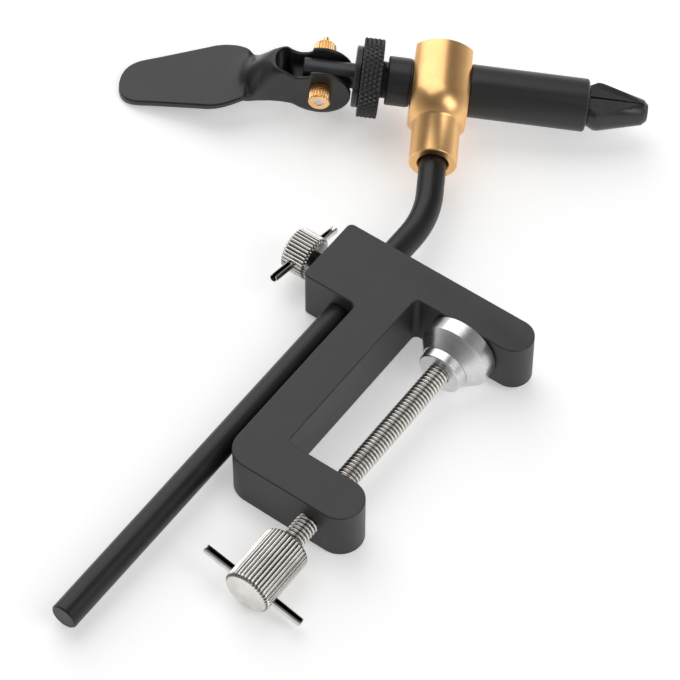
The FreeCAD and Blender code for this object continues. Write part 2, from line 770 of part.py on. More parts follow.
# ---------------------------------------------------------------- clamp screw, knob and pad
def make_clamp_screw():
    pin_place = shift("screw_reach", "-tommy_drop", "frame_thickness / 2") * turn(ROUND_Y, number("tommy_roll"))
    rod = turned("screw_turned", SCREW, [
        ("-screw_low_end", "0"),
        ("-screw_low_end", "screw_radius - edge_break"),
        ("-screw_low_end + edge_break", "screw_radius"),
        ("-screw_top", "screw_radius"),
        ("-screw_top", "pad_screw_radius"),
        ("-pad_screw_end - face_gap", "pad_screw_radius"),
        ("-pad_screw_end - face_gap", "0"),
    ])
    keep("clamp_screw", cut("clamp_screw", rod, [cross_bore("screw_pin_bore", pin_place, "tommy_length")]))
    knob = turned("knob_turned", SCREW, [
        ("-knob_low_end", "0"),
        ("-knob_low_end", "knob_radius - knob_chamfer"),
        ("-knob_low_end + knob_chamfer", "knob_radius"),
        ("-knob_top - knob_chamfer", "knob_radius"),
        ("-knob_top", "knob_radius - knob_chamfer"),
        ("-knob_top", "screw_radius"),
        ("-screw_low_end - face_gap", "screw_radius"),
        ("-screw_low_end - face_gap", "0"),
    ])
    keep("clamp_knob", cut("clamp_knob", knob, [cross_bore("knob_pin_bore", pin_place, "tommy_length")]))
    spring_pin("clamp_knob_pin", pin_place, "tommy_length")

    bore = "screw_radius + fit_gap"
    recess_floor = "-(body_gap + pad_recess_depth)"
    keep("clamp_pad", turned("pad_turned", SCREW, [
        ("-pad_collar_end", bore),
        ("-pad_collar_end", "pad_collar_radius - edge_break"),
        ("-pad_collar_end + edge_break", "pad_collar_radius"),
        ("-pad_cone_end", "pad_collar_radius + edge_break"),
        ("-pad_cone_end", "pad_cone_radius"),
        ("-pad_rim", "pad_radius - edge_break"),
        ("-pad_rim + edge_break", "pad_radius"),
        ("-body_gap - edge_break", "pad_radius"),
        ("-body_gap", "pad_radius - edge_break"),
        ("-body_gap", "pad_recess_radius"),
        (recess_floor, "pad_recess_radius"),
        (recess_floor, bore),
    ]))
    keep("pad_retaining_screw", turned("pad_screw_turned", SCREW, [
        ("-pad_screw_end", "0"),
        ("-pad_screw_end", "pad_screw_radius"),
        ("-screw_top", "pad_screw_radius"),
        ("-screw_top", "pad_screw_head"),
        ("-pad_screw_face", "pad_screw_head"),
        ("-pad_screw_face", "0"),
    ]))


# ---------------------------------------------------------------- thumbscrew
def make_thumbscrew():
    across = turn(ROUND_X, -number("thumb_pin_roll")) * X_TO_Y
    pin_place = THUMB * shift(x="-thumb_pin_place") * across
    shank = turned("shank_turned", THUMB, [
        ("-thumb_end", "0"),
        ("-thumb_end", "thumb_radius"),
        ("-thumb_tip - stem_chamfer", "thumb_radius"),
        ("-thumb_tip", "thumb_radius - stem_chamfer"),
        ("-thumb_tip", "0"),
    ])
    shank_bore = cross_bore("shank_pin_bore", pin_place, "thumb_pin_length")
    keep("thumbscrew_shank", cut("thumbscrew_shank", shank, [shank_bore]))
    knob = turned("thumb_knob_turned", THUMB, [
        ("-thumb_knob_far", "0"),
        ("-thumb_knob_far", "thumb_knob_radius - knob_chamfer"),
        ("-thumb_knob_far + knob_chamfer", "thumb_knob_radius"),
        ("-thumb_knob_near - knob_chamfer", "thumb_knob_radius"),
        ("-thumb_knob_near", "thumb_knob_radius - knob_chamfer"),
        ("-thumb_knob_near", "thumb_radius"),
        ("-thumb_end - face_gap", "thumb_radius"),
        ("-thumb_end - face_gap", "0"),
    ])
    knob_bore = cross_bore("thumb_knob_pin_bore", pin_place, "thumb_pin_length")
    keep("thumbscrew_knob", cut("thumbscrew_knob", knob, [knob_bore]))
    spring_pin("thumbscrew_pin", pin_place, "thumb_pin_length")

    washer_near = "-(block_reach + body_gap)"
    washer_far = "-(block_reach + body_gap + thumb_washer_thickness)"
    keep("thumbscrew_washer", turned("thumb_washer_turned", THUMB, [
        (washer_far, "thumb_radius"),
        (washer_far, "thumb_washer_radius"),
        (washer_near, "thumb_washer_radius"),
        (washer_near, "thumb_radius"),
    ]))
    plug = cylinder("lock_pad_blank", THUMB * shift(x="-lock_pad_back") * Z_TO_X,
                    "thumb_radius", "lock_pad_back")
    hollow = cylinder("lock_pad_hollow", THUMB * shift(y="-block_half_height") * Z_TO_Y,
                      "stem_radius + face_gap", "2 * block_half_height")
    keep("stem_lock_pad", cut("stem_lock_pad", plug, [hollow]))


# ---------------------------------------------------------------- make, check and write
make_c_frame()
make_stem()
make_tee_collar()
make_barrel()
make_nut_and_washer()
make_drawbar()
make_jaws()
make_cam_lever()
make_lever_pin()
make_clamp_screw()
make_thumbscrew()
doc.recompute()

for thing in doc.Objects:
    for word in ("Invalid", "Error"):
        if word in thing.State:
            raise RuntimeError(f"{thing.Name} is {word}")

for node, thing in PARTS:
    shape = thing.Shape
    if shape.isNull() or not shape.isValid() or not shape.Solids:
        raise RuntimeError(f"{node} has no valid solid")
    shape.exportStep(f"parts/{node}.step")
    print(f"{node}: {len(shape.Solids)} solid, {shape.Volume:.1f} mm3, {len(shape.Faces)} faces")
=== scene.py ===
import json
import math

import bmesh
import bpy
import numpy as np
from mathutils import Matrix, Vector


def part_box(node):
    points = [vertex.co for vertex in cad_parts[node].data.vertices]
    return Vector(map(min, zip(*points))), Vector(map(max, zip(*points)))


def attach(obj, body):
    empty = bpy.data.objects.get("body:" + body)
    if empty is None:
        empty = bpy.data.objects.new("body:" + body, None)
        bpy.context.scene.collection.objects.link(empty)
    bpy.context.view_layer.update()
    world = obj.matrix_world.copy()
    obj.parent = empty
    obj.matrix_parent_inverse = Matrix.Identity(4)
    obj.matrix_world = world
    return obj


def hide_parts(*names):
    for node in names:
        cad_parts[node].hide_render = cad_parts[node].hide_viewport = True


# A fly tying vise on its side, dressed over its solids. Lengths are in millimetres, also in the
# functions that make the pieces, and go to metres where a piece is put in its place. The table
# lies under the clamp.

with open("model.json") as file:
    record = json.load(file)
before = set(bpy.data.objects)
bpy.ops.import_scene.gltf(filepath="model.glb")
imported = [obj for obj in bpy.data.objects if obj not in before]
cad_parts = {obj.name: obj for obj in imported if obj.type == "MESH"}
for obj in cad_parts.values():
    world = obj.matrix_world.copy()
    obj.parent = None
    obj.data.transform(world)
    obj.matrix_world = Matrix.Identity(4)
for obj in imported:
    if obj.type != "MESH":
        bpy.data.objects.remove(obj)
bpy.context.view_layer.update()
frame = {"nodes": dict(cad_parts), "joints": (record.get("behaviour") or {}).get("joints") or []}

MM = 0.001
WELD_DISTANCE = 2e-6


# ---------------------------------------------------------------- places of the pieces
def joint(name):
    return [j for j in frame["joints"] if j["name"] == name][0]


def place_on(origin, along, across):
    """A 3 x 4 place: its columns are the piece's own length, width and height, then its origin."""
    along = np.array(along, float) / np.linalg.norm(along)
    across = np.array(across, float) - np.dot(across, along) * along
    across = across / np.linalg.norm(across)
    return np.column_stack([along, across, np.cross(along, across), np.array(origin, float)])


head_axis = np.array(joint("head_rotation")["axis"], float)
head_up = np.array([-head_axis[2], 0.0, head_axis[0]])
head_side = np.cross(head_up / np.linalg.norm(head_up), head_axis)
HEAD_SPOT = np.array(joint("head_rotation")["pos_m"], float) / MM
HEAD = place_on(HEAD_SPOT, head_axis, head_side)

screw_low, screw_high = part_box("clamp_screw")
SCREW_X = (screw_low.x + screw_high.x) / 2 / MM
SCREW_Z = (screw_low.z + screw_high.z) / 2 / MM
# The screw's own length runs up the clamp, from the knob to the pad
SCREW = place_on((SCREW_X, 0, SCREW_Z), (0, 1, 0), (0, 0, 1))
THUMB = place_on((0, 0, SCREW_Z), (-1, 0, 0), (0, 0, 1))


def put(points, place):
    """Points in a piece's own millimetres, turned and shifted to where the piece is, in metres."""
    return (points @ place[:, :3].T + place[:, 3]) * MM


# ---------------------------------------------------------------- from grids to pieces
def cells(rows, columns, wrap, lag=0):
    """The four corner numbers of each cell of a grid. A wrapped grid joins its last column to its
    first, lag rows further down, as a thread does after one turn."""
    across = columns if wrap else columns - 1
    row, column = np.meshgrid(np.arange(rows - 1), np.arange(across), indexing="ij")
    last = column == columns - 1
    other_row = row + np.where(last, lag, 0)
    other = np.where(last & wrap, 0, column + 1)
    kept = (other_row + 1 <= rows - 1).ravel()
    corners = np.stack([
        row * columns + column,
        (row + 1) * columns + column,
        (other_row + 1) * columns + other,
        other_row * columns + other,
    ], axis=-1)
    return corners.reshape(-1, 4)[kept]


def piece(name, sheets, body, finish, stands_for, sharp=34.0):
    """One closed piece out of several grids of points, each (points, wrapped, lag). Points that
    meet become one, which closes seams and poles, and edges sharper than an angle stay crisp."""
    points, corners, start = [], [], 0
    for grid, wrap, lag in sheets:
        rows, columns = grid.shape[:2]
        points.append(grid.reshape(-1, 3))
        corners.append(cells(rows, columns, wrap, lag) + start)
        start += rows * columns
    points = np.concatenate(points)
    corners = np.concatenate(corners)
    mesh = bpy.data.meshes.new(name)
    mesh.vertices.add(len(points))
    mesh.vertices.foreach_set("co", points.astype(np.float32).ravel())
    mesh.loops.add(corners.size)
    mesh.loops.foreach_set("vertex_index", corners.astype(np.int32).ravel())
    mesh.polygons.add(len(corners))
    mesh.polygons.foreach_set("loop_start", np.arange(0, corners.size, 4, dtype=np.int32))
    mesh.update(calc_edges=True)
    welded = bmesh.new()
    welded.from_mesh(mesh)
    bmesh.ops.remove_doubles(welded, verts=welded.verts, dist=WELD_DISTANCE)
    bmesh.ops.dissolve_degenerate(welded, edges=welded.edges, dist=1e-7)
    bmesh.ops.recalc_face_normals(welded, faces=welded.faces)
    welded.to_mesh(mesh)
    welded.free()
    return dress(mesh, name, body, finish, stands_for, sharp)


def dress(mesh, name, body, finish, stands_for, sharp):
    """A mesh as a smooth piece with crisp edges, its finish, its body and what it replaces."""
    mesh.polygons.foreach_set("use_smooth", np.ones(len(mesh.polygons), bool))
    mesh.set_sharp_from_angle(angle=math.radians(sharp))
    mesh.materials.clear()
    mesh.materials.append(finish)
    made = bpy.data.objects.new(name, mesh)
    bpy.context.scene.collection.objects.link(made)
    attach(made, body)
    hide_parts(*stands_for)
    return made


def eased(node, name, body, finish, sharp=14.0, bevel=0.0):
    """A copy of a solid with its loose triangles joined, so that its round faces look round, and
    with its corners eased by a narrow bevel."""
    mesh = frame["nodes"][node].data.copy()
    welded = bmesh.new()
    welded.from_mesh(mesh)
    bmesh.ops.remove_doubles(welded, verts=welded.verts, dist=WELD_DISTANCE)
    flat = math.radians(0.6)
    bmesh.ops.dissolve_limit(welded, angle_limit=flat, verts=welded.verts, edges=welded.edges)
    welded.to_mesh(mesh)
    welded.free()
    made = dress(mesh, name, body, finish, [node], sharp)
    if bevel:
        rounding = made.modifiers.new("eased_edges", "BEVEL")
        rounding.width = bevel * MM
        rounding.segments = 2
        rounding.limit_method = "ANGLE"
        rounding.angle_limit = math.radians(sharp)
        rounding.harden_normals = True
        rounding.miter_outer = "MITER_ARC"
    return made


# ---------------------------------------------------------------- forms
def turned(profile, place, columns=96, radius_at=None):
    """A turned form: each (along, radius) of the profile goes round in a circle. radius_at(along,
    radius, angle) may change the radius round the circle, as flutes and knurling do."""
    profile = np.array(profile, float)
    angle = np.linspace(0, 2 * math.pi, columns, endpoint=False)
    along = np.repeat(profile[:, :1], columns, axis=1)
    radius = np.repeat(profile[:, 1:], columns, axis=1)
    if radius_at:
        radius = radius_at(along, radius, angle[None, :])
    points = np.stack([along, radius * np.cos(angle), radius * np.sin(angle)], axis=-1)
    return put(points, place), True, 0


def finer(profile, step):
    """The same profile with more points on its longer runs, at most a step apart."""
    profile = np.array(profile, float)
    out = [profile[:1]]
    for here, there in zip(profile[:-1], profile[1:]):
        count = max(1, int(math.ceil(np.abs(there - here).max() / step)))
        share = np.arange(1, count + 1)[:, None] / count
        out.append(here + (there - here) * share)
    return np.concatenate(out)


def fluted(count, depth, width, first, last):
    """Flutes along a knob: the radius drops by a depth in narrow rounded grooves, count of them
    evenly round, between two places along the knob, and runs out softly at both."""
    def radius_at(along, radius, angle):
        across = np.abs(((angle * count / (2 * math.pi)) % 1.0) - 0.5) * 2
        groove = np.clip(1 - (1 - across) / width, 0, 1)
        dip = (1 - np.cos(groove * math.pi)) / 2
        run = np.clip((along - first) / 0.5, 0, 1) * np.clip((last - along) / 0.5, 0, 1)
        outer = np.clip((radius / radius.max() - 0.86) / 0.1, 0, 1)
        return radius - depth * dip * run * outer
    return radius_at


def diamonds(count, depth, pitch, first, last):
    """Diamond knurling: two families of grooves wind round in opposite directions, and the radius
    drops by the deeper of the two, between two places along the ring."""
    def radius_at(along, radius, angle):
        turn = angle * count / (2 * math.pi)
        left = np.abs(((turn + along / pitch) % 1.0) - 0.5) * 2
        right = np.abs(((turn - along / pitch) % 1.0) - 0.5) * 2
        dip = np.maximum(np.clip((left - 0.2) / 0.8, 0, 1), np.clip((right - 0.2) / 0.8, 0, 1))
        run = np.clip((along - first) / 0.25, 0, 1) * np.clip((last - along) / 0.25, 0, 1)
        outer = np.clip((radius / radius.max() - 0.9) / 0.05, 0, 1)
        return radius - depth * dip * run * outer
    return radius_at


def threaded(first, last, radius, depth, pitch, columns=48, steps=8, ease=1.0):
    """A screw thread: rows go along the screw, each turn of the winding moves them on by one pitch,
    and the radius follows a flat crest, a slope, a flat root and a slope in each pitch. Both ends
    are chamfered to the root."""
    turns = int(math.ceil((last - first) / pitch)) + 2
    row = np.arange(turns * steps + 1)[:, None]
    column = np.arange(columns)[None, :]
    share = row / steps + column / columns
    along = first + pitch * (share - 1)
    phase = (row / steps) % 1.0 + 0 * column
    ramp = np.interp(phase, [0, 0.12, 0.47, 0.53, 0.88, 1], [0, 0, 1, 1, 0, 0])
    inside = np.clip(np.minimum(along - first, last - along) / ease, 0, 1)
    top = radius - depth * (1 - inside)
    rim = np.minimum(radius - depth * ramp, top)
    outside = (along <= first) | (along >= last)
    rim = np.where(outside, radius - depth, rim)
    along = np.clip(along, first, last)
    angle = 2 * math.pi * column / columns + 0 * row
    points = np.stack([along, rim * np.cos(angle), rim * np.sin(angle)], axis=-1)
    return points, True, steps


def disc(along, radius, place, columns=48):
    """A flat round end: a ring of points drawn in to one."""
    return turned([(along, radius), (along, 0.0)], place, columns)


def rolled_pin(radius, bore, length, gap, place, columns=56):
    """A spring pin rolled from sheet: a C-shaped section, open by a gap, goes along its length.
    The section runs round the outside and back round the bore, and both ends are chamfered."""
    half = gap / 2
    outer_lip = math.asin(half / radius)
    inner_lip = math.asin(half / bore)
    outer = np.linspace(outer_lip, 2 * math.pi - outer_lip, columns)
    inner = np.linspace(2 * math.pi - inner_lip, inner_lip, columns)
    section = np.concatenate([
        np.stack([radius * np.cos(outer), radius * np.sin(outer)], axis=-1),
        np.stack([bore * np.cos(inner), bore * np.sin(inner)], axis=-1),
    ])
    middle = (radius + bore) / 2
    size = np.linalg.norm(section, axis=1, keepdims=True)
    core = section / size * (middle + (size - middle) * 0.45)
    chamfer = 0.5
    ends = [-length / 2, -length / 2 + chamfer, length / 2 - chamfer, length / 2]
    rings = [core, section, section, core]
    rings = [np.column_stack([np.full(len(section), at), ring]) for at, ring in zip(ends, rings)]
    skin = np.stack(rings)
    caps = []
    for ring in (rings[0], rings[-1]):
        caps.append((put(np.stack([ring[:columns], ring[columns:][::-1]]), place), False, 0))
    return [(put(skin, place), True, 0), *caps]


def smooth_line(at, places):
    """A smooth line through (place, value) pairs, level past its ends: cubic pieces, whose slope at
    each pair is the harmonic mean of the slopes beside it, and none where the line turns back."""
    x = np.array([pair[0] for pair in places], float)
    y = np.array([pair[1] for pair in places], float)
    step = np.diff(x)
    rise = np.diff(y) / step
    before, after = rise[:-1], rise[1:]
    same = before * after > 0
    first = 2 * step[1:] + step[:-1]
    second = step[1:] + 2 * step[:-1]
    safe_before = np.where(same, before, 1)
    safe_after = np.where(same, after, 1)
    slope = np.zeros(len(x))
    slope[1:-1] = np.where(same, (first + second) / (first / safe_before + second / safe_after), 0)
    slope[0] = rise[0]
    slope[-1] = rise[-1]
    at = np.clip(at, x[0], x[-1])
    k = np.clip(np.searchsorted(x, at) - 1, 0, len(x) - 2)
    t = (at - x[k]) / step[k]
    start = (1 + 2 * t) * (1 - t) ** 2 * y[k] + t * (1 - t) ** 2 * step[k] * slope[k]
    return start + t * t * (3 - 2 * t) * y[k + 1] + t * t * (t - 1) * step[k] * slope[k + 1]


# Lines of the lever along its length, as (distance behind the head's middle, value)
# Half of its width
LEVER_HALF_WIDTH = [
    (51, 6.1), (57, 6.1), (58, 6.15), (60.2, 6.8), (62, 7.6), (64, 8.7), (66, 9.9), (67.6, 10.9),
    (69.2, 11.7), (71.6, 12.6), (74, 13.25), (77, 13.6), (79, 13.55), (82, 13.05), (85, 12.55),
    (92, 11.35), (99, 10.2), (105.5, 9.1), (107.8, 8.1), (109.4, 6.8), (110.5, 5.2),
    (111.25, 3.2), (111.55, 1.6), (111.65, 0.0),
]
# Height of its middle
LEVER_RIDGE = [
    (47.2, 2.9), (49.75, 2.4), (52.25, 3.3), (54.5, 4.6), (56.5, 4.7), (58.4, 4.5), (59.8, 3.7),
    (62, 2.1), (64, 0.4), (66, -1.6), (68, -3.8), (70, -5.5), (72, -6.7), (74.5, -7.85),
    (78, -9.08), (112.2, -20.53),
]
# Height of its edges
LEVER_FLANGE = [
    (51, -11.0), (57, -11.2), (60, -10.6), (62, -9.4), (64, -8.1), (66, -6.9), (67.5, -5.9),
    (70, -6.35), (74.5, -7.91), (78, -9.08), (112.2, -20.53),
]
# Height of its underside
LEVER_UNDERSIDE = [
    (51, -12.3), (54.7, -12.1), (58, -12.3), (60.2, -11.9), (63.2, -10.7), (66, -9.4),
    (67.6, -8.3), (70, -8.9), (74.5, -10.4), (78, -11.6), (112.2, -23.06),
]
# Radius of its shoulders
LEVER_CORNER = [
    (51, 0.6), (54.5, 0.8), (57, 2.6), (58.4, 3.9), (61, 4.9), (63, 4.2), (65, 2.6), (67, 1.1),
    (69, 0.7), (112.2, 0.7),
]
# Share of the fall from the middle to the edges
LEVER_SPREAD = [
    (58.4, 0.0), (60, 0.05), (62, 0.2), (64, 0.5), (66, 0.86), (67.5, 1.0), (112.2, 1.0),
]
# Half of the hump's width
LEVER_HUMP_WIDTH = [
    (51, 6.1), (58.4, 6.1), (60, 6.7), (62, 7.5), (64, 8.2), (66, 9.0), (68, 10.2), (70, 11.6),
    (73, 13.2), (112.2, 13.5),
]


# The fork's ears and the trough between them; the ears' front ends follow the cam's circle
EAR_HALF_WIDTH = 6.1
TROUGH_HALF_WIDTH = 4.85
TROUGH_FLOOR = -9.6
SKIN_START = 51.0
CAM_MIDDLE = 41.45
CAM_RADIUS = 10.9
CAM_DROP = 4.65
EAR_RIM = [
    (41.0, 6.25), (43.5, 5.3), (45.3, 3.9), (47.2, 2.8), (49.75, 2.4), (52.25, 3.3), (54.5, 4.6),
]
EAR_KEEL = [(42.0, -15.55), (44.5, -15.2), (47.5, -14.1), (51.15, -12.35), (54.7, -12.1)]
# Where the skin's columns lie across each half of the lever, closest at the trough's rim
SKIN_COLUMNS = [
    0.0, 0.12, 0.24, 0.36, 0.46, 0.53, 0.57, 0.59, 0.6066, 0.625, 0.65, 0.7, 0.76, 0.82, 0.87, 0.91,
    0.94, 0.965, 0.985, 0.996, 1.0,
]


def lever_top(back, across):
    """The height of the lever's upper skin. A ridge along the middle falls away to a flange in a
    bell, its shoulders are rounded to a corner radius, and the trough between the fork's ears is
    sunk into it inside a rounded outline, steeply at the rim."""
    half = smooth_line(back, LEVER_HALF_WIDTH)
    ridge = smooth_line(back, LEVER_RIDGE)
    flange = smooth_line(back, LEVER_FLANGE)
    spread = smooth_line(back, LEVER_SPREAD)
    hump = smooth_line(back, LEVER_HUMP_WIDTH)
    corner = np.minimum(smooth_line(back, LEVER_CORNER), half)
    side = np.clip(np.abs(across) / hump, 0, 1)
    height = ridge - (ridge - flange) * spread * side * side * (3 - 2 * side)
    over = np.clip((np.abs(across) - (half - corner)) / np.maximum(corner, 1e-6), 0, 1)
    height = height - corner * (1 - np.sqrt(1 - over ** 2))
    ahead = np.clip((back - 54.5) / 3.45, 0, None)
    inside = np.sqrt(ahead ** 2 + (across / TROUGH_HALF_WIDTH) ** 2)
    steep = np.where(ahead > 0, 3.2 + 3.8 * (1 - np.clip(ahead, 0, 1)) ** 2, 7.0)
    bowl = TROUGH_FLOOR + (ridge - TROUGH_FLOOR) * np.clip(inside, 0, 1.2) ** steep
    return np.where(back < 58.6, np.minimum(height, bowl), height)


def lever_skin():
    """The lever from the trough to the paddle's tip: each cross-section is a loop of its upper
    skin, two walls and its underside, which bows up under the hump and has rounded corners."""
    back = np.concatenate([
        np.arange(SKIN_START, 60.0, 0.2), np.arange(60.0, 80.0, 0.35), np.arange(80.0, 105.0, 1.0),
        105.0 + 6.65 * np.sin(np.linspace(0, math.pi / 2, 24)),
    ])[:, None]
    share = np.concatenate([-np.array(SKIN_COLUMNS[::-1]), np.array(SKIN_COLUMNS[1:])])[None, :]
    half = smooth_line(back, LEVER_HALF_WIDTH)
    across = share * half
    top = lever_top(back + 0 * share, across)
    low = smooth_line(back, LEVER_UNDERSIDE)
    fall = smooth_line(back, LEVER_RIDGE) - smooth_line(back, LEVER_FLANGE)
    lift = np.clip(fall * 0.35, 0, 2.5)
    lift = lift * np.clip((back - 56) / 3, 0, 1)
    bottom = low + lift * np.clip(1 - (share / 0.8) ** 2, 0, 1)
    corner = 0.6
    round_low = np.clip((np.abs(across) - (half - corner)) / corner, 0, 1)
    bottom = bottom + np.where(half > 0.7, corner * (1 - np.sqrt(1 - round_low ** 2)), corner)
    top = np.maximum(top, bottom + 0.05)
    wall = np.array([0.33, 0.67])[None, :]
    left = top[:, :1] + (bottom[:, :1] - top[:, :1]) * wall
    right = bottom[:, -1:] + (top[:, -1:] - bottom[:, -1:]) * wall
    across_loop = np.concatenate(
        [across[:, ::-1], across[:, :1] + 0 * wall, across, across[:, -1:] + 0 * wall], axis=1)
    height_loop = np.concatenate([top[:, ::-1], left, bottom, right], axis=1)
    loop = np.stack([-back + 0 * across_loop, across_loop, height_loop], axis=-1)
    start = -back[0] + 0 * across[0]
    mouth = np.stack([
        np.stack([start, across[0], top[0]], axis=-1),
        np.stack([start, across[0], bottom[0]], axis=-1),
    ])
    return [(put(loop, HEAD), True, 0), (put(mouth, HEAD), False, 0)]


def lever_ears():
    """The two ears are rounded slabs. Their upper and lower edges follow the rims and the cam's
    circle. The inner face is upright below and leans out to the trough's width at the top. Where an
    ear runs into the skin it is a little narrower and lower than it."""
    turn = np.linspace(0, math.pi, 60)
    place = CAM_MIDDLE + CAM_RADIUS * np.cos(turn)
    place = np.concatenate([np.arange(53.0, 47.0, -0.25), place[place < 47.0]])
    circle = np.sqrt(np.clip(CAM_RADIUS ** 2 - (place - CAM_MIDDLE) ** 2, 0, None))
    rim = np.where(place > 45.3, smooth_line(place, EAR_RIM), circle - CAM_DROP)
    keel = np.where(place > 44.5, smooth_line(place, EAR_KEEL), -circle - CAM_DROP)
    under = 0.06 * np.clip((place - 50.9) / 0.3, 0, 1)
    rim = rim - under
    keel = keel + under
    outer = EAR_HALF_WIDTH - under[:, None]
    tall = (rim - keel)[:, None]
    ease = np.minimum(0.55, 0.35 * tall)
    run = np.linspace(0, 1, 10)[None, :]
    bow = np.linspace(0, math.pi, 9)[1:-1][None, :]
    rise = ease + (tall - 2 * ease) * run
    lean = smooth_line(rise - tall, [(-5.5, 0.0), (-2.5, 0.45), (0.0, 1.0)])
    inner = 3.7 + 1.15 * lean * np.clip(tall / 8, 0, 1)
    edge_half = (outer - inner[:, -1:]) / 2
    foot_half = (outer - inner[:, :1]) / 2
    across = np.concatenate([
        outer + 0 * rise,
        outer - edge_half * (1 - np.cos(bow)),
        inner[:, ::-1],
        outer - foot_half * (1 + np.cos(bow)),
    ], axis=1)
    height = np.concatenate([
        rise,
        tall - ease + ease * np.sin(bow),
        rise[:, ::-1],
        ease - ease * np.sin(bow),
    ], axis=1)
    sheets = []
    for side in (-1, 1):
        length = -place[:, None] + 0 * across
        ear = np.stack([length, side * across, keel[:, None] + height], axis=-1)
        sheets.append((put(ear, HEAD), True, 0))
        for end in (ear[0], ear[-1]):
            half = len(end) // 2
            sheets.append((put(np.stack([end[:half], end[half:][::-1]]), HEAD), False, 0))
    return sheets


def make_lever():
    """The cam lever: its long skin and its two ears, three closed forms in one piece."""
    sheets = lever_skin() + lever_ears()
    piece("cam_lever_form", sheets, "lever", lever_black, ["cam_lever"], sharp=40)


# ---------------------------------------------------------------- finishes
def tree(name):
    finish = bpy.data.materials.new(name)
    finish.use_nodes = True
    return finish, finish.node_tree, finish.node_tree.nodes["Principled BSDF"]


def grey(tone):
    return (tone, tone, tone)


def own_coordinates(nt, place=None, stretch=(1, 1, 1)):
    """Object coordinates, turned and shifted to a piece's own place and stretched."""
    coordinates = nt.nodes.new("ShaderNodeTexCoord")
    spot = coordinates.outputs["Object"]
    if place is not None:
        seat = nt.nodes.new("ShaderNodeMapping")
        seat.vector_type = "TEXTURE"
        turn = Matrix([list(row) for row in place[:, :3]])
        seat.inputs["Rotation"].default_value = turn.to_euler()
        seat.inputs["Location"].default_value = Vector(place[:, 3] * MM)
        nt.links.new(spot, seat.inputs["Vector"])
        spot = seat.outputs["Vector"]
    if stretch != (1, 1, 1):
        pull = nt.nodes.new("ShaderNodeMapping")
        pull.inputs["Scale"].default_value = stretch
        nt.links.new(spot, pull.inputs["Vector"])
        spot = pull.outputs["Vector"]
    return spot


def noise(nt, spot, scale, detail=4.0, rough=0.6):
    cloud = nt.nodes.new("ShaderNodeTexNoise")
    cloud.inputs["Scale"].default_value = scale
    cloud.inputs["Detail"].default_value = detail
    cloud.inputs["Roughness"].default_value = rough
    nt.links.new(spot, cloud.inputs["Vector"])
    return cloud.outputs["Fac"]


def spread(nt, value, low, high, new_low, new_high):
    """A value between two limits brought to between two others."""
    scale = nt.nodes.new("ShaderNodeMapRange")
    scale.inputs["From Min"].default_value = low
    scale.inputs["From Max"].default_value = high
    scale.inputs["To Min"].default_value = new_low
    scale.inputs["To Max"].default_value = new_high
    nt.links.new(value, scale.inputs["Value"])
    return scale.outputs["Result"]


def blended(nt, share, first, second):
    """Two colours blended by a share."""
    mix = nt.nodes.new("ShaderNodeMix")
    mix.data_type = "RGBA"
    nt.links.new(share, mix.inputs["Factor"])
    for socket, colour in (("A", first), ("B", second)):
        target = [s for s in mix.inputs if s.name == socket and s.type == "RGBA"][0]
        if isinstance(colour, tuple):
            target.default_value = (*colour, 1.0)
        else:
            nt.links.new(colour, target)
    return [s for s in mix.outputs if s.type == "RGBA"][0]


def raised(nt, height, strength, distance):
    bump = nt.nodes.new("ShaderNodeBump")
    bump.inputs["Strength"].default_value = strength
    bump.inputs["Distance"].default_value = distance
    nt.links.new(height, bump.inputs["Height"])
    return bump.outputs["Normal"]


def satin_black(name, dark, light, rough, grain=2600.0, bump=0.25, place=None, stretch=(1, 1, 1),
                specular=0.5):
    """Black anodised metal: fine blasted grain, slow cloudy changes of tone and gloss, and small
    rubbed specks."""
    finish, nt, shader = tree(name)
    spot = own_coordinates(nt, place, stretch)
    plain = own_coordinates(nt)
    cloud = noise(nt, spot, 55.0, 3.0)
    fine = noise(nt, spot, grain, 3.0, 0.7)
    tone = blended(nt, spread(nt, cloud, 0.35, 0.65, 0.0, 1.0), dark, light)
    specks = spread(nt, noise(nt, plain, 900.0, 2.0), 0.7, 0.78, 0.0, 0.35)
    rubbed = tuple(min(1.0, c * 1.9 + 0.01) for c in light)
    nt.links.new(blended(nt, specks, tone, rubbed), shader.inputs["Base Color"])
    nt.links.new(spread(nt, cloud, 0.3, 0.7, rough[0], rough[1]), shader.inputs["Roughness"])
    nt.links.new(raised(nt, fine, bump, 0.00002), shader.inputs["Normal"])
    shader.inputs["Specular IOR Level"].default_value = specular
    return finish


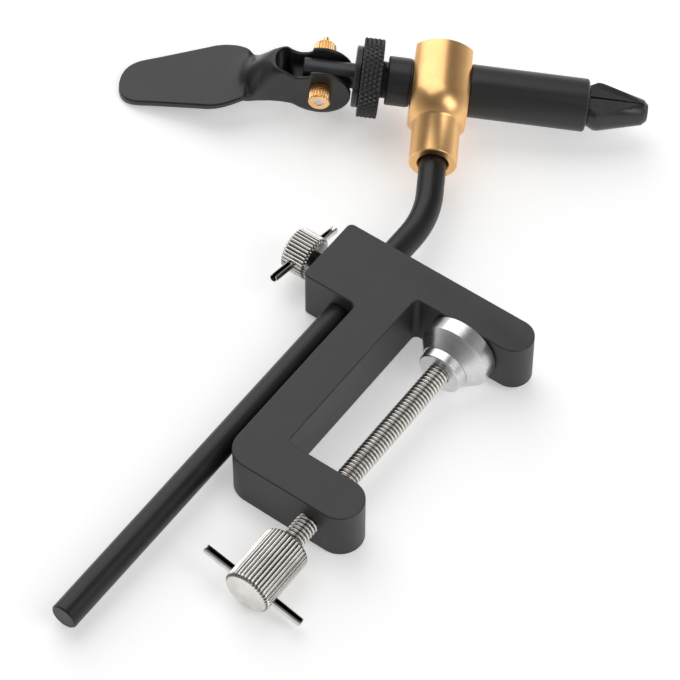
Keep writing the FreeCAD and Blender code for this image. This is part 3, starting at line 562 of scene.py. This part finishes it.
def turned_metal(name, dark, light, place, rough, rings=2600.0, bump=0.12, grooves=None):
    """Bare or anodised metal from the lathe: fine rings round the piece's own axis, with slow
    changes of tone. Grooves, given as the radius of their floor, of their crest and a share of
    the colour, are painted darker from the crest down, as painted shade in the grooves."""
    finish, nt, shader = tree(name)
    spot = own_coordinates(nt, place)
    apart = nt.nodes.new("ShaderNodeSeparateXYZ")
    nt.links.new(spot, apart.inputs["Vector"])
    square = nt.nodes.new("ShaderNodeCombineXYZ")
    nt.links.new(apart.outputs["Y"], square.inputs["X"])
    nt.links.new(apart.outputs["Z"], square.inputs["Y"])
    length = nt.nodes.new("ShaderNodeVectorMath")
    length.operation = "LENGTH"
    nt.links.new(square.outputs["Vector"], length.inputs[0])
    sweep = nt.nodes.new("ShaderNodeMath")
    sweep.operation = "ADD"
    nt.links.new(apart.outputs["X"], sweep.inputs[0])
    nt.links.new(length.outputs["Value"], sweep.inputs[1])
    lines = nt.nodes.new("ShaderNodeTexNoise")
    lines.noise_dimensions = "1D"
    lines.inputs["Scale"].default_value = rings
    lines.inputs["Detail"].default_value = 3.0
    nt.links.new(sweep.outputs["Value"], lines.inputs["W"])
    cloud = noise(nt, spot, 120.0, 3.0)
    tone = blended(nt, spread(nt, cloud, 0.35, 0.65, 0, 1), dark, light)
    # Painted shade: the band at each groove's floor is painted darker than the metal's own tone
    if grooves:
        floor, crest, share = grooves
        clear = nt.nodes.new("ShaderNodeMath")
        clear.operation = "MAXIMUM"
        radius = length.outputs["Value"]
        above = spread(nt, radius, floor * MM, crest * MM, 0, 1)
        below = spread(nt, radius, (floor - 0.2) * MM, (floor - 0.08) * MM, 1, 0)
        nt.links.new(above, clear.inputs[0])
        nt.links.new(below, clear.inputs[1])
        tone = blended(nt, clear.outputs["Value"], tuple(share * c for c in dark), tone)
    nt.links.new(tone, shader.inputs["Base Color"])
    ring = lines.outputs["Fac"]
    nt.links.new(spread(nt, ring, 0.3, 0.7, rough[0], rough[1]), shader.inputs["Roughness"])
    nt.links.new(raised(nt, ring, bump, 0.000006), shader.inputs["Normal"])
    shader.inputs["Metallic"].default_value = 1.0
    return finish


frame_black = satin_black(
    "frame_satin_black", (0.03, 0.03, 0.031), (0.041, 0.041, 0.042), rough=(0.42, 0.5),
    specular=0.43)
stem_black = satin_black(
    "stem_satin_black", grey(0.009), grey(0.014), rough=(0.33, 0.41), grain=3200.0, bump=0.12,
    specular=0.38)
barrel_black = satin_black(
    "barrel_drawn_black", grey(0.019), grey(0.031), rough=(0.3, 0.42), place=HEAD,
    stretch=(0.06, 1, 1), grain=1500.0, bump=0.12, specular=0.42)
sleeve_black = satin_black(
    "sleeve_satin_black", grey(0.016), grey(0.026), rough=(0.32, 0.42), bump=0.12, specular=0.42)
nut_black = satin_black(
    "adjuster_black", grey(0.016), grey(0.028), rough=(0.26, 0.36), bump=0.12)
lever_black = satin_black(
    "lever_satin_black", grey(0.014), grey(0.024), rough=(0.27, 0.35), grain=2000.0, bump=0.1,
    specular=0.45)
jaw_black = satin_black(
    "jaw_hardened_black", grey(0.015), grey(0.025), rough=(0.24, 0.34), grain=2200.0, bump=0.12,
    specular=0.55)
bar_black = satin_black(
    "drawbar_black", grey(0.02), grey(0.034), rough=(0.26, 0.36), bump=0.12)
gold = turned_metal(
    "collar_gold", (0.90, 0.515, 0.215), (0.96, 0.585, 0.26), HEAD, rough=(0.28, 0.33))
# The brass nuts' rings go round an axis of their own, the lever's cross pin
NUTS_PLACE = place_on((0, 0, 0), HEAD[:, 2], HEAD[:, 0])
brass = turned_metal(
    "nut_brass", (0.86, 0.50, 0.22), (0.94, 0.62, 0.3), NUTS_PLACE, rough=(0.2, 0.28))
# The thread's roots are painted darker: painted shade in the thread, together with grime in its
# roots
nickel = turned_metal(
    "screw_nickel", (0.73, 0.70, 0.67), (0.86, 0.83, 0.79), SCREW, rough=(0.18, 0.26),
    grooves=(3.15, 3.75, 0.12))
KNOB_DARK = (0.66, 0.64, 0.61)
KNOB_LIGHT = (0.80, 0.77, 0.73)
# The two knobs' flute floors are painted darker: painted shade in the flutes
knob_nickel = turned_metal(
    "knob_nickel", KNOB_DARK, KNOB_LIGHT, SCREW, rough=(0.2, 0.3), grooves=(7.85, 8.3, 0.25))
thumb_nickel = turned_metal(
    "thumb_nickel", KNOB_DARK, KNOB_LIGHT, THUMB, rough=(0.2, 0.3), grooves=(7.27, 7.7, 0.25))
pin_roll = math.radians(14.0)
thumb_roll = math.radians(15.0)
KNOB_PIN = place_on(
    (SCREW_X, -116.1, SCREW_Z),
    (math.cos(pin_roll), 0, -math.sin(pin_roll)),
    (math.sin(pin_roll), 0, math.cos(pin_roll)))
THUMB_PIN = place_on(
    (-24.6, 0, SCREW_Z),
    (0, math.cos(thumb_roll), -math.sin(thumb_roll)),
    (0, math.sin(thumb_roll), math.cos(thumb_roll)))
PIN_DARK = (0.55, 0.53, 0.51)
PIN_LIGHT = (0.70, 0.68, 0.65)
# The pins are painted darker towards their bores: painted shade inside the rolled pins
PIN_GROOVE_SHADE = (0.95, 1.35, 0.08)
pin_metal = turned_metal(
    "pin_steel", PIN_DARK, PIN_LIGHT, KNOB_PIN, rough=(0.14, 0.2), grooves=PIN_GROOVE_SHADE)
thumb_pin_metal = turned_metal(
    "thumb_pin_steel", PIN_DARK, PIN_LIGHT, THUMB_PIN, rough=(0.14, 0.2), grooves=PIN_GROOVE_SHADE)
pad_metal = turned_metal(
    "pad_aluminium", grey(0.64), grey(0.74), SCREW, rough=(0.25, 0.31), rings=3200.0, bump=0.2)
plain_steel = turned_metal(
    "plain_steel", grey(0.5), (0.62, 0.62, 0.61), HEAD, rough=(0.25, 0.4))

NODE_FINISH = {
    "c_frame": frame_black, "stem": stem_black, "stem_end_plug": stem_black, "tee_collar": gold,
    "collar_set_screw": plain_steel, "lever_pin": plain_steel, "return_spring": plain_steel,
    "jaw_spring": plain_steel, "barrel": barrel_black, "rear_sleeve": sleeve_black,
    "spacer_ring": sleeve_black, "thumbscrew_washer": plain_steel, "knurled_nut": nut_black,
    "thrust_washer": nut_black, "drawbar": bar_black, "jaw_front": jaw_black, "jaw_back": jaw_black,
    "cam_lever": lever_black, "lever_nut_front": brass, "lever_nut_back": brass,
    "stem_lock_pad": brass, "clamp_screw": nickel, "thumbscrew_shank": stem_black,
    "clamp_knob": nickel, "thumbscrew_knob": thumb_nickel, "clamp_knob_pin": nickel,
    "thumbscrew_pin": thumb_nickel, "clamp_pad": pad_metal, "pad_retaining_screw": plain_steel,
}
for node, finish in NODE_FINISH.items():
    solid = frame["nodes"][node]
    if not solid.data.materials:
        solid.data.materials.append(finish)
    for index in range(len(solid.material_slots)):
        solid.material_slots[index].link = "OBJECT"
        solid.material_slots[index].material = finish


# ---------------------------------------------------------------- floor, lamps, world, camera
def floor_sheet():
    """A broad square, level with what the clamp lies on, tipped by about a degree and a half as the
    vise's uneven weight tips it."""
    reach = 6.0
    side = np.array([-reach, reach])
    x, y = np.meshgrid(side, side, indexing="ij")
    z = -0.00159 - 0.0237 * x - 0.0305 * y
    return np.stack([x, y, z], axis=-1)


def make_floor():
    finish, nt, shader = tree("white_table")
    spot = own_coordinates(nt)
    cloud = noise(nt, spot, 2.0, 2.0)
    nt.links.new(blended(nt, cloud, grey(0.90), grey(0.92)), shader.inputs["Base Color"])
    shader.inputs["Roughness"].default_value = 0.8
    shader.inputs["Specular IOR Level"].default_value = 0.0
    path = nt.nodes.new("ShaderNodeLightPath")
    seen = nt.nodes.new("ShaderNodeMath")
    seen.operation = "MAXIMUM"
    nt.links.new(path.outputs["Is Camera Ray"], seen.inputs[0])
    mirrored = nt.nodes.new("ShaderNodeMath")
    mirrored.operation = "MAXIMUM"
    nt.links.new(path.outputs["Is Glossy Ray"], mirrored.inputs[0])
    nt.links.new(path.outputs["Is Transmission Ray"], mirrored.inputs[1])
    nt.links.new(mirrored.outputs["Value"], seen.inputs[1])
    lift = nt.nodes.new("ShaderNodeMath")
    lift.operation = "MULTIPLY"
    lift.inputs[1].default_value = 0.38
    nt.links.new(seen.outputs["Value"], lift.inputs[0])
    shader.inputs["Emission Color"].default_value = (1, 1, 1, 1)
    nt.links.new(lift.outputs["Value"], shader.inputs["Emission Strength"])
    points = floor_sheet()
    mesh = bpy.data.meshes.new("table")
    mesh.from_pydata([tuple(p) for p in points.reshape(-1, 3)], [], [(0, 2, 3, 1)])
    mesh.materials.append(finish)
    table = bpy.data.objects.new("table", mesh)
    bpy.context.scene.collection.objects.link(table)


def softbox(name, aim, direction, distance, width, height, radiance):
    """A flat lamp facing a point. Its power is pi x its area x the brightness of its face."""
    lamp = bpy.data.lights.new(name, "AREA")
    lamp.shape = "RECTANGLE"
    lamp.size = width
    lamp.size_y = height
    lamp.energy = math.pi * width * height * radiance
    holder = bpy.data.objects.new(name, lamp)
    toward = Vector(direction).normalized()
    holder.location = Vector(aim) + toward * distance
    holder.rotation_euler = toward.to_track_quat("Z", "Y").to_euler()
    bpy.context.scene.collection.objects.link(holder)


def make_world():
    """Even studio walls: white round the horizon and below, grey overhead."""
    world = bpy.data.worlds.new("studio")
    world.use_nodes = True
    nt = world.node_tree
    back = nt.nodes["Background"]
    spot = nt.nodes.new("ShaderNodeTexCoord").outputs["Generated"]
    apart = nt.nodes.new("ShaderNodeSeparateXYZ")
    nt.links.new(spot, apart.inputs["Vector"])
    ramp = nt.nodes.new("ShaderNodeValToRGB")
    ramp.color_ramp.elements[0].position = 0.0
    ramp.color_ramp.elements[0].color = (0.95, 0.95, 0.95, 1)
    ramp.color_ramp.elements[1].position = 0.7
    ramp.color_ramp.elements[1].color = (0.16, 0.16, 0.16, 1)
    middle = ramp.color_ramp.elements.new(0.2)
    middle.color = (0.5, 0.5, 0.5, 1)
    nt.links.new(apart.outputs["Z"], ramp.inputs["Fac"])
    nt.links.new(ramp.outputs["Color"], back.inputs["Color"])
    back.inputs["Strength"].default_value = 1.0
    bpy.context.scene.world = world


def make_camera():
    """The photograph's own view, from how its straight edges, circles and thread pitches lie."""
    camera = bpy.data.cameras.new("camera")
    camera.sensor_width = 36.0
    camera.lens = 188.59
    camera.clip_start = 0.05
    camera.clip_end = 50.0
    holder = bpy.data.objects.new("camera", camera)
    right = Vector((0.8096594, 0.5868983, 0.0014562))
    down = Vector((0.4709056, -0.6481561, -0.5984493))
    ahead = Vector((-0.3502851, 0.4852258, -0.8011593))
    turn = Matrix((right, -down, -ahead)).transposed()
    holder.matrix_world = Matrix.Translation((0.418556, -0.593201, 0.952823)) @ turn.to_4x4()
    bpy.context.scene.collection.objects.link(holder)
    bpy.context.scene.camera = holder


make_floor()
softbox("key_softbox", (0.0, -0.02, 0.01), (-0.53, 0.34, 0.775), 1.4, 1.3, 1.9, 1.62)
softbox("fill_softbox", (0.0, -0.02, 0.01), (0.72, 0.03, 0.69), 1.2, 0.5, 0.8, 2.6)
make_world()
make_camera()
bpy.context.scene.view_settings.view_transform = "Standard"

# ---------------------------------------------------------------- the pieces
SCREW_THREAD = (-99.0, -13.0)
SCREW_RADIUS = 3.9
THREAD_DEPTH = 0.78
THREAD_PITCH = 1.4111
KNOB_TOP = -97.8
KNOB_END = -120.25
KNOB_RADIUS = 8.45
KNOB_FLUTES = 38
THUMB_KNOB_FLUTES = 36
PIN_RADIUS = 1.5
PIN_BORE = 0.95
PIN_GAP = 1.3
NUT_FLUTES = 23
KNURLS = 49
CROSS_PIN_BACK = 41.2
CROSS_PIN_DROP = 1.8


def make_clamp_screw():
    """The spindle: a plain journal in the pad, then thread down to the knob."""
    first, last = SCREW_THREAD
    thread, wrap, lag = threaded(first, last, SCREW_RADIUS, THREAD_DEPTH, THREAD_PITCH, steps=12)
    journal = finer([(-2.7, 0.0), (-2.7, 2.9), (-3.0, 3.2), (-13.2, 3.2), (-13.2, 0.0)], 2.0)
    foot = finer([(-98.0, 0.0), (-98.0, 3.85), (-118.4, 3.85), (-118.6, 3.65), (-118.6, 0.0)], 2.0)
    sheets = [(put(thread, SCREW), wrap, lag), turned(journal, SCREW, 48), turned(foot, SCREW, 48)]
    for at in SCREW_THREAD:
        sheets.append(disc(at, SCREW_RADIUS - THREAD_DEPTH, SCREW))
    piece("threaded_spindle", sheets, "clamp_spindle", nickel, ["clamp_screw"], 50)


def make_clamp_knob():
    """The spindle's knob: flutes all round, chamfered rims and flat ends."""
    profile = finer([
        (KNOB_TOP, 0.0), (KNOB_TOP, 7.4), (KNOB_TOP - 0.9, KNOB_RADIUS),
        (KNOB_END + 0.9, KNOB_RADIUS), (KNOB_END, 7.5), (KNOB_END, 0.0),
    ], 0.6)
    flutes = fluted(KNOB_FLUTES, 0.6, 0.85, KNOB_END - 1, KNOB_TOP + 1)
    sheet = turned(profile, SCREW, KNOB_FLUTES * 10, flutes)
    piece("fluted_knob", [sheet], "clamp_spindle", knob_nickel, ["clamp_knob"], 40)


def make_thumb_knob():
    """The side screw's knob, of the same form."""
    profile = finer([
        (19.8, 0.0), (19.8, 7.0), (20.5, 7.85), (28.4, 7.85), (29.1, 7.1), (29.1, 0.0),
    ], 0.6)
    flutes = fluted(THUMB_KNOB_FLUTES, 0.58, 0.85, 18.8, 30.1)
    sheet = turned(profile, THUMB, THUMB_KNOB_FLUTES * 10, flutes)
    piece(
        "fluted_thumb_knob", [sheet], "thumbscrew", thumb_nickel,
        ["thumbscrew_knob"], 40)


def make_pins():
    """The rolled spring pins through the two knobs, each with its slot up."""
    long_pin = rolled_pin(PIN_RADIUS, PIN_BORE, 38.4, PIN_GAP, KNOB_PIN)
    short_pin = rolled_pin(PIN_RADIUS, PIN_BORE, 36.0, PIN_GAP, THUMB_PIN)
    piece(
        "knob_spring_pin", long_pin, "clamp_spindle", pin_metal,
        ["clamp_knob_pin"], 50)
    piece(
        "thumb_spring_pin", short_pin, "thumbscrew", thumb_pin_metal,
        ["thumbscrew_pin"], 50)


def make_knurled_nut():
    """The adjusting ring: its rim is knurled in diamonds of a 30 degree helix, between two narrow
    chamfers, and its two faces are flat round the bore."""
    profile = finer([
        (-20.8, 9.4), (-20.8, 13.55), (-21.15, 13.9), (-27.55, 13.9), (-27.9, 13.55), (-27.9, 9.4),
        (-20.8, 9.4),
    ], 0.14)
    knurl = diamonds(KNURLS, 0.55, 3.05, -28.5, -20.2)
    sheet = turned(profile, HEAD, KNURLS * 12, knurl)
    piece(
        "knurled_ring", [sheet], "adjuster_nut", nut_black, ["knurled_nut"], 60)


def make_lever_nuts():
    """The two brass nuts on the lever's cross pin: fluted sides, a plain band and a chamfer at the
    outer end. The near one is bored through, the far one ends in a small tip."""
    across = HEAD[:, 1]
    pin = HEAD_SPOT - CROSS_PIN_BACK * HEAD[:, 0] - CROSS_PIN_DROP * HEAD[:, 2]
    near = place_on(pin, -across, HEAD[:, 2])
    far = place_on(pin, across, HEAD[:, 2])
    bore = 1.53
    profile = finer([
        (6.1, bore), (6.1, 3.75), (6.25, 3.9), (11.8, 3.9), (12.2, 3.5), (12.2, bore), (6.1, bore),
    ], 0.2)
    flutes = fluted(NUT_FLUTES, 0.45, 0.9, 5.0, 12.1)
    sheet = turned(profile, near, NUT_FLUTES * 12, flutes)
    piece("near_lever_nut", [sheet], "lever", brass, ["lever_nut_front"], 40)
    profile = finer([
        (6.1, bore), (6.1, 3.75), (6.25, 3.9), (12.5, 3.9), (12.9, 3.5), (12.9, 1.05), (16.2, 1.05),
        (16.5, 0.75), (16.5, 0.0),
    ], 0.2)
    inside = finer([(10.6, 0.0), (10.6, bore), (6.1, bore)], 0.4)
    flutes = fluted(NUT_FLUTES, 0.45, 0.9, 5.0, 12.8)
    sheet = turned(np.concatenate([inside, profile[1:]]), far, NUT_FLUTES * 12, flutes)
    piece("far_lever_nut", [sheet], "lever", brass, ["lever_nut_back"], 40)


def make_stem_plug():
    """The plug in the stem's lower end: a flat disc, flush with the end and tight in its bore."""
    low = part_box("stem")[0].y / MM
    end = place_on((0, low, SCREW_Z), (0, 1, 0), (0, 0, 1))
    profile = finer([(0.0, 0.0), (0.0, 3.33), (4.0, 3.33), (4.0, 0.0)], 0.8)
    sheet = turned(profile, end, 64)
    piece("stem_end_disc", [sheet], "stem_carrier", stem_black, ["stem_end_plug"])


eased("c_frame", "clamp_body", "clamp_frame", frame_black, sharp=34, bevel=0.3)
eased("stem", "bent_stem", "stem_and_collar", stem_black)
eased("tee_collar", "gold_collar", "stem_and_collar", gold)
eased("barrel", "barrel_tube", "rotary_barrel", barrel_black)
eased("rear_sleeve", "sleeve", "rotary_barrel", sleeve_black)
eased("clamp_pad", "swivel_pad", "pad", pad_metal)
eased("jaw_front", "front_jaw_form", "front_jaw", jaw_black, sharp=12.5)
eased("jaw_back", "back_jaw_form", "back_jaw", jaw_black, sharp=12.5)
eased("drawbar", "puller_bar", "jaw_puller", bar_black, bevel=0.5)
eased("thrust_washer", "push_washer", "adjuster_washer", nut_black)
eased("spacer_ring", "thin_ring", "rotary_barrel", sleeve_black)
make_clamp_screw()
make_clamp_knob()
make_thumb_knob()
make_pins()
make_knurled_nut()
make_lever_nuts()
make_stem_plug()
make_lever()
